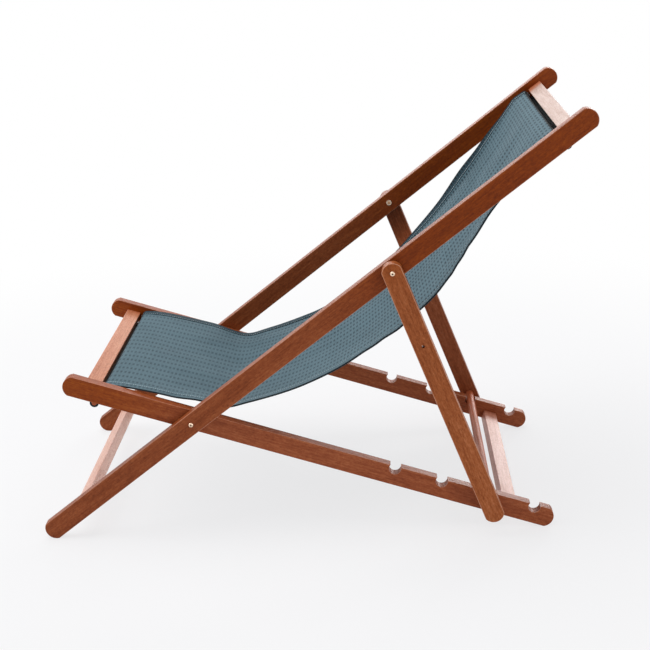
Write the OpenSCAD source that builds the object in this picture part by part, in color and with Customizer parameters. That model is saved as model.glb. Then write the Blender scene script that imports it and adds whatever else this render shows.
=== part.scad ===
// Folding deck chair with a cloth sling, a back frame, a seat frame and a prop.
// Millimetres, +Z up. The foot end points to -X and the head end to +X. The sitter's left is -Y.
// The origin is on the floor, at the centre of the space that the chair takes.

/* [Rails] */
// Depth of every rail, seen from the side
rail_depth = 40; // [34:1:52]
// Thickness of every rail and strut
rail_thick = 20; // [16:1:28]
// How far a rail's curved end reaches past its straight edges
rail_crown = 13; // [6:1:15]
// Radius of the two soft corners at a curved end
corner_r = 3; // [1:0.5:5]

/* [Back frame] */
// Width over the two back rails
back_w = 545; // [440:5:680]
// From the frame pivot to the back rail's foot end
back_foot = 385; // [350:5:450]
// From the frame pivot to the back rail's head end
back_head = 955; // [930:5:990]
// From the frame pivot to the prop pivot
prop_pivot_at = 497; // [485:1:510]
// From the head end to the head slat's outer edge
head_inset = 38.5; // [32:0.5:60]
// Depth of the head slat and head bar below the rails' upper edge
head_recess = 14; // [8:1:18]
// From the foot end to the foot stretcher's outer edge
foot_inset = 71; // [40:1:85]
// Depth of the foot stretcher below the rails' upper edge
foot_recess = 14; // [8:1:18]

/* [Seat frame] */
// From the frame pivot to the seat rail's front end
seat_front = 261; // [240:1:275]
// From the frame pivot to the seat rail's rear end
seat_rear = 740; // [725:5:800]
// From the front end to the front slat's outer edge
front_inset = 38; // [30:1:50]
// Depth of the front slat and front bar below the rails' upper edge
front_recess = 16; // [8:1:18]
// From the rear end to the rear stretcher's outer edge, once the last catch is clear
rear_inset = 72; // [50:1:76]
// Depth of the rear stretcher below the rails' upper edge
rear_recess = 20; // [8:1:20]

/* [Catches] */
// Diameter of a catch
catch_d = 24; // [22:0.5:28]
// Depth of a catch's centre below the seat rail's upper edge
catch_drop = 5; // [3:0.5:6]
// From the frame pivot to the first catch
catch_first = 408; // [396:1:420]
// From one catch to the next
catch_pitch = 96; // [88:1:98]
// Number of catches in each seat rail
catch_count = 4; // [3:1:4]
// The catch that the prop dowel stands in, counted from the frame pivot
catch_used = 3; // [2:1:3]

/* [Prop] */
// Depth of a strut, seen from the side
strut_depth = 38; // [32:1:46]
// From the prop pivot to the prop dowel
dowel_at = 509; // [500:1:520]
// From the prop dowel to the strut's lower end
strut_tail = 37; // [28:1:44]
// From the prop pivot to the strut's upper end
strut_nose = 19.5; // [18:0.5:40]
// Diameter of the prop dowel
dowel_d = 18; // [15:0.5:18]
// Diameter of the dowel's turned ends, which sit in the struts
dowel_end_d = 12; // [8:0.5:14]
// From the prop pivot to the spare hole in a strut
spare_hole_at = 153; // [60:1:300]
// Diameter of the spare hole
spare_hole_d = 6; // [4:0.5:8]

/* [Cross pieces] */
// Width of a slat, bar or stretcher, along the rails
bar_w = 30; // [24:1:36]
// Thickness of a slat, bar or stretcher
bar_t = 20; // [14:1:20]
// Length of a tenon, in its blind mortise
tenon_len = 12; // [6:0.5:13]
// Shoulder left round a tenon
tenon_shoulder = 4; // [2:0.5:5]
// Slot between a slat and its bar, which the cloth drops through
slot_w = 9.5; // [8:0.5:10.5]
// Rounding of a cloth bar's four long edges
bar_round = 3; // [1:0.5:3.5]

/* [Pivots] */
// Diameter of a bolt's shank
bolt_d = 6; // [5:0.5:7]
// Diameter of a bolt's domed head
bolt_head_d = 10; // [9:0.5:14]
// Height of a bolt's domed head
bolt_head_h = 3; // [2:0.5:5]
// Outer diameter of a sleeve nut
nut_d = 8.4; // [8:0.1:9.5]
// Length of a sleeve nut's shank
nut_len = 14; // [10:0.5:15]
// Diameter of a sleeve nut's flange
nut_flange_d = 12; // [11:0.5:16]
// Thickness of a sleeve nut's flange
nut_flange_t = 1.5; // [1:0.1:1.8]
// Thickness of the washer between two rails
washer_t = 2.5; // [2.2:0.1:4]
// Diameter of that washer
washer_d = 20; // [14:1:28]
// Radial clearance of a turning fit
fit_gap = 0.05; // [0.02:0.01:0.09]

/* [Sling] */
// Thickness of the cloth
cloth_t = 1.2; // [0.8:0.1:1.4]
// From the cloth's side edges to the rails' inner faces
cloth_side_gap = 2; // [1:0.5:8]
// Height of the cloth above the seat rails, near the frame pivot
cloth_lift = 8.5; // [6:0.5:16]
// Depth of the sag below the line of the back rails
cloth_sag = 106; // [80:1:125]
// Diameter of the dowels in the cloth's hems
hem_dowel_d = 10; // [10:0.5:13]
// How far the front hem hangs below the slot that holds it
front_hem_slack = 10; // [2:0.5:14]
// How far the front hem leans towards the foot end
front_hem_lean = 7.5; // [0:0.5:8]
// Radius of the cloth's slack turn over the front bar
cloth_turn_r = 8; // [5:0.5:10]
// Where the cloth crosses above the seat rails, along them from the frame pivot
crossing_at = 38; // [30:1:50]
// Where the cloth passes between the back rails, along them from the frame pivot
dip_at = 103; // [90:1:120]
// Depth of the cloth there, below the line of the back rails
dip_depth = 51; // [46:1:60]

/* [Hidden] */
$fn = 64;

left = -1;
right = 1;

// gap between soft or curved faces that seat on each other
seat_gap = 0.3;
// gap between a face and one that turns against it
slip_gap = 0.2;
// radial gap round a glued dowel end, a bolt's hole and a hem dowel
loose_gap = 0.2;

// planes across the chair, from the middle outwards
back_outer = back_w / 2;
back_inner = back_outer - rail_thick;
seat_outer = back_inner - washer_t;
seat_inner = seat_outer - rail_thick;
strut_inner = back_outer + washer_t;
strut_outer = strut_inner + rail_thick;

// the curved ends: a wide arc that runs into two soft corners
function end_r(depth) = (pow(depth / 2, 2) + pow(rail_crown, 2)) / (2 * rail_crown);
function corner_in(depth) = depth / 2 - corner_r;
function corner_along(depth) = sqrt(pow(end_r(depth) - corner_r, 2) - pow(corner_in(depth), 2));
function crown_turn(depth) = atan2(corner_in(depth), corner_along(depth));

// distance from a pivot to a rail end's outline, in a direction that is turned from the rail's line
function reach_at(length, turn, depth) = turn <= crown_turn(depth)
    ? (length - end_r(depth)) * cos(turn) + end_r(depth)
    : (length - end_r(depth) + corner_along(depth)) * cos(turn) + corner_in(depth) * sin(turn) + corner_r;

// the prop dowel's centre in its catch, in the seat rail's line: it leans on the wall that the strut points at
catch_s = catch_first + (catch_used - 1) * catch_pitch;
catch_n = rail_depth / 2 - catch_drop;
dowel_play = (catch_d - dowel_d) / 2 - seat_gap;
function frames_angle(s, n) = acos((pow(prop_pivot_at, 2) + s * s + n * n - pow(dowel_at, 2))
    / (2 * prop_pivot_at * norm([s, n]))) + atan2(n, s);
function strut_lean(s, n) = let (a = frames_angle(s, n))
    atan2(prop_pivot_at * sin(a) - n, prop_pivot_at * cos(a) - s);
function dowel_seat(lean) = [catch_s - dowel_play * cos(lean), catch_n - dowel_play * sin(lean)];
first_seat = dowel_seat(strut_lean(catch_s, catch_n));
dowel_sn = dowel_seat(strut_lean(first_seat[0], first_seat[1]));

// the rest pose: the prop sets the angle between the frames, and both of them stand on the floor
open_angle = frames_angle(dowel_sn[0], dowel_sn[1]);
function lift_error(tilt) = reach_at(back_foot, 90 - tilt, rail_depth)
    - reach_at(seat_rear, 90 - open_angle + tilt, rail_depth);
function level(low, high, steps) = let (mid = (low + high) / 2)
    steps == 0 ? mid
    : lift_error(mid) > 0 ? level(low, mid, steps - 1)
    : level(mid, high, steps - 1);
back_tilt = level(0, open_angle, 40);
seat_tilt = back_tilt - open_angle;
pivot_z = reach_at(back_foot, 90 - back_tilt, rail_depth);
pivot_x = (reach_at(back_foot, back_tilt, rail_depth) - reach_at(back_head, back_tilt, rail_depth)) / 2;

function turned(v, a) = [v[0] * cos(a) - v[1] * sin(a), v[0] * sin(a) + v[1] * cos(a)];
function on_back_line(s, n) = [pivot_x, pivot_z] + turned([s, n], back_tilt);
function on_seat_line(s, n) = [pivot_x, pivot_z] + turned([s, n], seat_tilt);

prop_xz = on_back_line(prop_pivot_at, 0);
dowel_xz = on_seat_line(dowel_sn[0], dowel_sn[1]);
prop_tilt = atan2(dowel_xz[1] - prop_xz[1], dowel_xz[0] - prop_xz[0]);

// places of the cross pieces along their rails: the edge nearest the head or the rear end
head_slat_s = back_head - head_inset;
head_bar_s = head_slat_s - bar_w - slot_w;
foot_bar_s = bar_w - back_foot + foot_inset;
front_slat_s = front_inset + bar_w - seat_front;
front_bar_s = front_slat_s + slot_w + bar_w;
rear_bar_s = seat_rear - rear_inset;

top_n = rail_depth / 2;
head_n = top_n - head_recess;
foot_n = top_n - foot_recess;
front_n = top_n - front_recess;
rear_n = top_n - rear_recess;

// the cloth's way: up through the front slot, along the seat, down the sag, up to the head, and down again
cloth_half = cloth_t / 2;
hem_r = hem_dowel_d / 2 + loose_gap;
hem_path_r = hem_r + cloth_half;
hem_outer_r = hem_r + cloth_t;
hem_seat = sqrt(pow(hem_outer_r + seat_gap, 2) - pow(slot_w / 2, 2));
head_hem = [head_slat_s - bar_w - slot_w / 2, head_n - bar_t - hem_seat];
front_hem = [front_slat_s + slot_w / 2 - front_hem_lean, front_n - bar_t - hem_seat - front_hem_slack];
head_line_s = head_bar_s + seat_gap + cloth_half;
front_line_s = front_slat_s + slot_w - seat_gap - cloth_half;

function curve(a, b, c, d, steps) = [for (i = [1:steps]) let (t = i / steps, r = 1 - t)
    r * r * r * a + 3 * r * r * t * b + 3 * r * t * t * c + t * t * t * d];
function turn(centre, r, from, to, steps) = [for (i = [0:steps])
    let (a = from + (to - from) * i / steps) centre + r * [cos(a), sin(a)]];
function toward(from, to, length) = from + (to - from) * length / norm(to - from);

// its slopes: where it leaves the front bar, and where it comes up to the head bar, which it lies on
front_rise = 20;
head_rise = 16;
bar_turn_r = bar_round + seat_gap + cloth_half;
front_turn = turn([front_line_s + cloth_turn_r, front_n], cloth_turn_r, 180, 90 + front_rise, 8);
head_turn = concat(
    turn([head_bar_s - bar_w + bar_round, head_n - bar_round], bar_turn_r, 90 + head_rise, 90, 3),
    turn([head_bar_s - bar_round, head_n - bar_round], bar_turn_r, 90, 0, 8)
);
front_start = front_turn[len(front_turn) - 1];
head_start = head_turn[0];
crossing_sn = [crossing_at, top_n + cloth_lift];
dip_sn = [dip_at, -dip_depth];

// how far each of its curves is pulled along its slope at either end
front_pull = 0.115 * seat_front * [cos(front_rise), sin(front_rise)];
crossing_pull = [2.9 * crossing_at, 2];
over_pull = turned([0.1 * seat_front, -1], seat_tilt);
dip_pull = turned([0.1 * seat_front, -11], back_tilt);
sag_place = [3.126 * dip_at, -cloth_sag - 37];
head_pull = 0.398 * back_head * [cos(head_rise + 3), sin(head_rise + 3)];

front_under = [front_line_s, front_n - bar_t - seat_gap];
head_under = [head_line_s, head_hem[1] + sqrt(pow(hem_path_r, 2) - pow(head_line_s - head_hem[0], 2))];

crossing = on_seat_line(crossing_sn[0], crossing_sn[1]);
dip = on_back_line(dip_sn[0], dip_sn[1]);
function seat_points(list) = [for (p = list) on_seat_line(p[0], p[1])];
function back_points(list) = [for (p = list) on_back_line(p[0], p[1])];
cloth_path = concat(
    seat_points([toward(front_hem, front_under, hem_path_r), front_under]),
    seat_points(front_turn),
    seat_points(curve(front_start, front_start + front_pull, crossing_sn - crossing_pull, crossing_sn, 12)),
    curve(crossing, crossing + over_pull, dip - dip_pull, dip, 10),
    back_points(curve(dip_sn, sag_place, head_start - head_pull, head_start, 24)),
    back_points([for (i = [1:len(head_turn) - 1]) head_turn[i]]),
    back_points([head_under])
);

// one side of a sheet that follows a path
function heading(path, i) = let (a = path[max(i - 1, 0)], b = path[min(i + 1, len(path) - 1)]) (b - a) / norm(b - a);
function beside(path, d) = [for (i = [0:len(path) - 1]) path[i] + d * turned(heading(path, i), 90)];
function reversed(list) = [for (i = [len(list) - 1:-1:0]) list[i]];

// A frame's own line: X along the rail, Z up from its centre line
module on_back() {
    translate([pivot_x, 0, pivot_z]) rotate([0, -back_tilt, 0]) children();
}

module on_seat() {
    translate([pivot_x, 0, pivot_z]) rotate([0, -seat_tilt, 0]) children();
}

module on_prop() {
    translate([prop_xz[0], 0, prop_xz[1]]) rotate([0, -prop_tilt, 0]) children();
}

// A flat shape in the side view, made solid between two planes across the chair
module across(from, to) {
    translate([0, max(from, to), 0]) rotate([90, 0, 0]) linear_extrude(abs(to - from)) children();
}

// A round bar or hole across the chair
module round_across(s, n, from, to, r) {
    translate([s, max(from, to), n]) rotate([90, 0, 0]) cylinder(h = abs(to - from), r = r);
}

// Half of a side outline: the curved end, turned towards +X
module curved_end(length, depth) {
    r = end_r(depth);
    corner_x = length - r + corner_along(depth);
    opening = r * tan(crown_turn(depth));
    translate([0, -depth / 2]) square([corner_x, depth]);
    for (side = [-1, 1]) {
        translate([corner_x, side * corner_in(depth)]) circle(corner_r);
    }
    translate([length - r, 0]) intersection() {
        circle(r);
        polygon([[0, 0], [r, opening], [r, -opening]]);
    }
}

module rail_outline(low, high, depth) {
    curved_end(high, depth);
    mirror([1, 0]) curved_end(low, depth);
}

// A blind mortise in a rail's inner face
module mortise(s_high, n_high, side, face) {
    translate([s_high - bar_w + tenon_shoulder, side > 0 ? face : -face - tenon_len, n_high - bar_t + tenon_shoulder])
        cube([bar_w - 2 * tenon_shoulder, tenon_len, bar_t - 2 * tenon_shoulder]);
}

// The tenons on both ends of a cross piece
module tenons(s_high, n_high, face) {
    for (side = [left, right]) {
        mortise(s_high, n_high, side, face);
    }
}

// A slat or stretcher
module cross_piece(s_high, n_high, face) {
    translate([s_high - bar_w, -face, n_high - bar_t]) cube([bar_w, 2 * face, bar_t]);
    tenons(s_high, n_high, face);
}

// A bar that the cloth lies on, with rounded long edges
module cloth_bar(s_high, n_high, face) {
    across(-face, face) translate([s_high - bar_w, n_high - bar_t]) {
        translate([bar_round, 0]) square([bar_w - 2 * bar_round, bar_t]);
        translate([0, bar_round]) square([bar_w, bar_t - 2 * bar_round]);
        for (x = [bar_round, bar_w - bar_round], z = [bar_round, bar_t - bar_round]) {
            translate([x, z]) circle(bar_round);
        }
    }
    tenons(s_high, n_high, face);
}

module back_rail(side) {
    color("sienna") on_back() difference() {
        across(side * back_inner, side * back_outer) rail_outline(back_foot, back_head, rail_depth);
        round_across(0, 0, side * back_inner, side * back_outer, bolt_d / 2 + loose_gap);
        round_across(prop_pivot_at, 0, side * back_inner, side * back_outer, nut_d / 2 + loose_gap);
        for (place = [[head_slat_s, head_n], [head_bar_s, head_n], [foot_bar_s, foot_n]]) {
            mortise(place[0], place[1], side, back_inner);
        }
    }
}

module seat_rail(side) {
    color("sienna") on_seat() difference() {
        across(side * seat_inner, side * seat_outer) rail_outline(seat_front, seat_rear, rail_depth);
        round_across(0, 0, side * seat_inner, side * seat_outer, nut_d / 2 + fit_gap);
        for (i = [0:catch_count - 1]) {
            round_across(catch_first + i * catch_pitch, catch_n, side * seat_inner, side * seat_outer, catch_d / 2);
        }
        for (place = [[front_slat_s, front_n], [front_bar_s, front_n], [rear_bar_s, rear_n]]) {
            mortise(place[0], place[1], side, seat_inner);
        }
    }
}

module prop_strut(side) {
    color("peru") on_prop() difference() {
        across(side * strut_inner, side * strut_outer)
            rail_outline(strut_nose, dowel_at + strut_tail, strut_depth);
        round_across(0, 0, side * strut_inner, side * strut_outer, bolt_d / 2 + fit_gap);
        round_across(spare_hole_at, 0, side * strut_inner, side * strut_outer, spare_hole_d / 2);
        round_across(dowel_at, 0, side * strut_inner, side * (strut_inner + tenon_len), dowel_end_d / 2 + loose_gap);
    }
}

module prop_dowel() {
    color("rosybrown") on_prop() {
        round_across(dowel_at, 0, -strut_inner, strut_inner, dowel_d / 2);
        round_across(dowel_at, 0, -strut_inner - tenon_len, strut_inner + tenon_len, dowel_end_d / 2);
    }
}

module head_slat() {
    color("mistyrose") on_back() cross_piece(head_slat_s, head_n, back_inner);
}

module head_bar() {
    color("sienna") on_back() cloth_bar(head_bar_s, head_n, back_inner);
}

module foot_stretcher() {
    color("rosybrown") on_back() cross_piece(foot_bar_s, foot_n, back_inner);
}

module seat_front_slat() {
    color("tan") on_seat() cross_piece(front_slat_s, front_n, seat_inner);
}

module seat_front_bar() {
    color("sienna") on_seat() cloth_bar(front_bar_s, front_n, seat_inner);
}

module seat_rear_stretcher() {
    color("rosybrown") on_seat() cross_piece(rear_bar_s, rear_n, seat_inner);
}

// The cloth tapers from the back rails' inner width to the seat rails' inner width
module cloth_plan() {
    front_half = seat_inner - cloth_side_gap;
    head_half = back_inner - cloth_side_gap;
    ends = [on_seat_line(front_line_s, front_n)[0], on_back_line(head_line_s, head_n)[0]];
    slope = (head_half - front_half) / (ends[1] - ends[0]);
    past = 40;
    low = front_half - slope * past;
    high = head_half;
    linear_extrude(2 * back_head) polygon([
        [ends[0] - past, -low], [ends[1], -high], [ends[1] + past, -high],
        [ends[1] + past, high], [ends[1], high], [ends[0] - past, low]
    ]);
}

module hem(place) {
    across(-back_inner, back_inner) difference() {
        translate(place) circle(hem_outer_r);
        translate(place) circle(hem_r);
    }
}

module sling() {
    color("slategray") intersection() {
        union() {
            across(-back_inner, back_inner)
                polygon(concat(beside(cloth_path, cloth_half), reversed(beside(cloth_path, -cloth_half))));
            hem(on_seat_line(front_hem[0], front_hem[1]));
            hem(on_back_line(head_hem[0], head_hem[1]));
        }
        cloth_plan();
    }
}

module sling_head_dowel() {
    color("rosybrown") on_back()
        round_across(head_hem[0], head_hem[1], -back_inner + cloth_side_gap, back_inner - cloth_side_gap, hem_dowel_d / 2);
}

module sling_front_dowel() {
    color("rosybrown") on_seat()
        round_across(front_hem[0], front_hem[1], -seat_inner + cloth_side_gap, seat_inner - cloth_side_gap, hem_dowel_d / 2);
}

// A bolt along -Y with its domed head at y = 0 and its shank towards +Y
module bolt(length) {
    dome_r = (pow(bolt_head_d / 2, 2) + pow(bolt_head_h, 2)) / (2 * bolt_head_h);
    rotate([-90, 0, 0]) {
        cylinder(h = length, r = bolt_d / 2);
        rotate_extrude() intersection() {
            translate([0, dome_r - bolt_head_h]) circle(dome_r);
            translate([0, -bolt_head_h]) square([bolt_head_d / 2, bolt_head_h]);
        }
    }
}

// A sleeve nut that enters a rail along -Y from y = 0, with its flange on the +Y side
module sleeve_nut() {
    rotate([90, 0, 0]) difference() {
        union() {
            cylinder(h = nut_len, r = nut_d / 2);
            translate([0, 0, -nut_flange_t]) cylinder(h = nut_flange_t, r = nut_flange_d / 2);
        }
        translate([0, 0, -nut_flange_t]) cylinder(h = nut_len + nut_flange_t, r = bolt_d / 2);
    }
}

module washer() {
    rotate([90, 0, 0]) difference() {
        cylinder(h = washer_t - 2 * slip_gap, r = washer_d / 2);
        cylinder(h = washer_t - 2 * slip_gap, r = bolt_d / 2 + loose_gap);
    }
}

// The same thing on both sides of the chair
module both_sides() {
    children();
    mirror([0, 1, 0]) children();
}

module frame_pivot_bolts() {
    color("silver") on_back() both_sides()
        translate([0, -back_outer, 0]) bolt(rail_thick + washer_t + rail_thick);
}

module frame_pivot_nuts() {
    color("silver") on_back() both_sides() translate([0, slip_gap - seat_inner, 0]) sleeve_nut();
}

module frame_pivot_washers() {
    color("gray") on_back() both_sides() translate([0, -seat_outer - slip_gap, 0]) washer();
}

module prop_pivot_bolts() {
    color("silver") on_back() both_sides()
        translate([prop_pivot_at, -strut_outer - slip_gap, 0]) bolt(slip_gap + rail_thick + washer_t + rail_thick);
}

module prop_pivot_nuts() {
    color("silver") on_back() both_sides() translate([prop_pivot_at, -back_inner, 0]) sleeve_nut();
}

module prop_pivot_washers() {
    color("gray") on_back() both_sides() translate([prop_pivot_at, -back_outer - slip_gap, 0]) washer();
}

back_rail(left);  // back_rail_left
back_rail(right);  // back_rail_right
head_slat();
head_bar();
foot_stretcher();
seat_rail(left);  // seat_rail_left
seat_rail(right);  // seat_rail_right
seat_front_slat();
seat_front_bar();
seat_rear_stretcher();
prop_strut(left);  // prop_strut_left
prop_strut(right);  // prop_strut_right
prop_dowel();
sling();
sling_head_dowel();
sling_front_dowel();
frame_pivot_bolts();
frame_pivot_nuts();
frame_pivot_washers();
prop_pivot_bolts();
prop_pivot_nuts();
prop_pivot_washers();
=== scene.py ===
"""A folding deck chair: its wooden frames, fasteners and woven sling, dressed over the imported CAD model.
X runs from the foot of the chair to its head, Y across it and Z up. Lengths are in metres, apart from
those that are multiplied by MM where they are used."""
import math

import bmesh
import bpy
from mathutils import Matrix, Vector
from mathutils.geometry import interpolate_bezier


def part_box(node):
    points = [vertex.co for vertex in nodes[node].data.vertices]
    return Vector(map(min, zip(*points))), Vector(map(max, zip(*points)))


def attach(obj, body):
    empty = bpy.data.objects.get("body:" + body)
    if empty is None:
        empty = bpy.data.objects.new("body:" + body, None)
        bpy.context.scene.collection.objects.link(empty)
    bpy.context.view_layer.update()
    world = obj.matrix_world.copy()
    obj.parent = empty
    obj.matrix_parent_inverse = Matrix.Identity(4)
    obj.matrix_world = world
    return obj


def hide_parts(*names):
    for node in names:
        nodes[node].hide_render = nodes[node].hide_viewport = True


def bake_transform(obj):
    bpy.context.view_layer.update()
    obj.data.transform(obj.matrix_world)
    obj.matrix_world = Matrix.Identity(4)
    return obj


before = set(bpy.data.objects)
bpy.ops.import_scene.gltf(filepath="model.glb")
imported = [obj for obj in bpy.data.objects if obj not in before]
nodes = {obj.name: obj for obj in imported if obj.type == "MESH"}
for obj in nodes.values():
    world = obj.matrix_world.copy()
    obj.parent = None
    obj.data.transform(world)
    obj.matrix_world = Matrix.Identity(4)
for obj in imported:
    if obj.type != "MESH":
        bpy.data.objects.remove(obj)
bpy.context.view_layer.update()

MM = 0.001
SIDES = ("left", "right")

# The frames' own lines at rest, in the side view, as the CAD model has them
BACK_TILT = math.radians(37.4732)
SEAT_TILT = math.radians(-17.9316)
PROP_TILT = math.radians(-69.0493)
FRAME_PIVOT = Vector((-0.226187, 0.242801))
PROP_PIVOT = Vector((0.168251, 0.545171))


def turned(v, angle):
    """A side-view vector, turned anticlockwise."""
    cos, sin = math.cos(angle), math.sin(angle)
    return Vector((v[0] * cos - v[1] * sin, v[0] * sin + v[1] * cos))


def on_back_line(s, n):
    """The point s along the back rails' middle line from the frames' pivot and n above it, in millimetres."""
    return FRAME_PIVOT + turned((s * MM, n * MM), BACK_TILT)


def on_seat_line(s, n):
    """The same on the seat rails' middle line."""
    return FRAME_PIVOT + turned((s * MM, n * MM), SEAT_TILT)


def on_prop_line(s, n):
    """The same on the struts' middle line, from the prop's pivot."""
    return PROP_PIVOT + turned((s * MM, n * MM), PROP_TILT)


# Camera at the photograph's viewing angle
CAMERA_PLACE = (0.14823, -2.45662, 1.20493)
CAMERA_YAW = math.radians(-2.822)
CAMERA_PITCH = math.radians(-19.24)
CAMERA_ROLL = math.radians(-2.191)
SENSOR_WIDTH = 36
FOCAL_LENGTH = 68.575
SEE_TO = 100


def make_camera():
    forward = Vector((
        math.sin(CAMERA_YAW) * math.cos(CAMERA_PITCH),
        math.cos(CAMERA_YAW) * math.cos(CAMERA_PITCH),
        math.sin(CAMERA_PITCH),
    ))
    level_right = Vector((math.cos(CAMERA_YAW), -math.sin(CAMERA_YAW), 0))
    level_up = level_right.cross(forward)
    right = math.cos(CAMERA_ROLL) * level_right + math.sin(CAMERA_ROLL) * level_up
    up = -math.sin(CAMERA_ROLL) * level_right + math.cos(CAMERA_ROLL) * level_up
    data = bpy.data.cameras.new("camera")
    data.sensor_width = SENSOR_WIDTH
    data.lens = FOCAL_LENGTH
    data.clip_end = SEE_TO
    camera = bpy.data.objects.new("camera", data)
    bpy.context.scene.collection.objects.link(camera)
    turn = Matrix((right, up, -forward)).transposed()
    camera.matrix_world = Matrix.Translation(CAMERA_PLACE) @ turn.to_4x4()
    bpy.context.scene.camera = camera


# Material helpers
def linear(red, green, blue):
    """A colour as it is seen on a screen, 0 to 255, in the linear values that a shader takes."""
    channels = [c / 255 for c in (red, green, blue)]
    return (*[c / 12.92 if c <= 0.04045 else ((c + 0.055) / 1.055) ** 2.4 for c in channels], 1)


def new_tree(name):
    material = bpy.data.materials.new(name)
    material.use_nodes = True
    material.node_tree.nodes.clear()
    return material, material.node_tree


def put(tree, kind, sockets=None, **settings):
    """Adds a node. A socket's value is another node's output or a constant."""
    node = tree.nodes.new(kind)
    for key, value in settings.items():
        setattr(node, key, value)
    for key, value in (sockets or {}).items():
        if isinstance(value, bpy.types.NodeSocket):
            tree.links.new(value, node.inputs[key])
        else:
            node.inputs[key].default_value = value
    return node


def calc(tree, operation, a, b=0.0, c=0.0):
    return put(tree, "ShaderNodeMath", {0: a, 1: b, 2: c}, operation=operation).outputs[0]


def fade(tree, value, low, high, to_low=0.0, to_high=1.0):
    """A smooth step: to_low where the value is low or less, to_high where it is high or more."""
    sockets = {"Value": value, "From Min": low, "From Max": high, "To Min": to_low, "To Max": to_high}
    return put(tree, "ShaderNodeMapRange", sockets, interpolation_type="SMOOTHSTEP").outputs[0]


def mix(tree, factor, a, b, blend_type="MIX"):
    sockets = {0: factor, 6: a, 7: b}
    return put(tree, "ShaderNodeMix", sockets, data_type="RGBA", blend_type=blend_type).outputs[2]


def noise(tree, where, scale, detail=2.0, roughness=0.5, distortion=0.0):
    sockets = {
        "Vector": where, "Scale": scale, "Detail": detail, "Roughness": roughness, "Distortion": distortion,
    }
    return put(tree, "ShaderNodeTexNoise", sockets).outputs["Fac"]


def stretched(tree, where, along, beside):
    """The same pattern drawn out along the grain: along and beside are its scales, per metre."""
    return put(tree, "ShaderNodeMapping", {"Vector": where, "Scale": (along, beside, beside)}).outputs[0]


def object_place(tree):
    return put(tree, "ShaderNodeTexCoord").outputs["Object"]


def painted(tree, name):
    """A number that the mesh's points carry."""
    return put(tree, "ShaderNodeAttribute", attribute_name=name).outputs["Fac"]


def axis_of(tree, vector, axis):
    return put(tree, "ShaderNodeSeparateXYZ", {0: vector}).outputs[axis]


def bumped(tree, height, strength, depth):
    """A bump whose depth is in millimetres."""
    return put(tree, "ShaderNodeBump", {
        "Height": height, "Strength": strength, "Distance": depth * MM,
    }).outputs[0]


def principled(tree, **sockets):
    """The surface's shader and the material's output. An underscore stands for a space in a socket's name."""
    named = {key.replace("_", " "): value for key, value in sockets.items()}
    shader = put(tree, "ShaderNodeBsdfPrincipled", named)
    put(tree, "ShaderNodeOutputMaterial", {"Surface": shader.outputs[0]})


def scaled(colour, gain):
    return tuple(gain * c for c in colour[:3]) + (1,)


# Stained and satin varnished hardwood. The patterns' scales are along and beside the grain, per metre.
FIGURE_SCALES = (2.2, 42)
STREAK_SCALES = (16, 330)
MOTTLE_SCALES = (120, 270)
PORE_SCALES = (150, 1100)
FIGURE_SHARE = 0.3
STREAK_SHARE = 0.3
MOTTLE_SHARE = 0.4
DARK_STOP = 0.36
MIDDLE_STOP = 0.51
LIGHT_STOP = 0.66
# How much of the wood's colour a pore covers, and what it leaves of the dark streaks' colour
PORE_COVER = 0.45
PORE_DARK = 0.45
# Each channel's gain and addition on the middle of each rounded arris, which is paler and pinker, partly
# where the stain is rubbed thin and partly as a painted highlight
RUBBED_AND_LIT = ((1.28, 0.04), (1.65, 0.06), (2.1, 0.08))
# What the darker, redder run leaves of each channel, and how far the figure moves its border, in metres
DARKENING = (0.86, 0.64, 0.14, 1)
DARKENING_WANDER = 0.12
# Where the painted reflection of the rail starts to show on a cross piece and where it is full, across the
# chair
RAIL_REFLECTION_PLACES = (0.212, 0.262)
RAIL_REFLECTION_WANDER = 0.03


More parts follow.
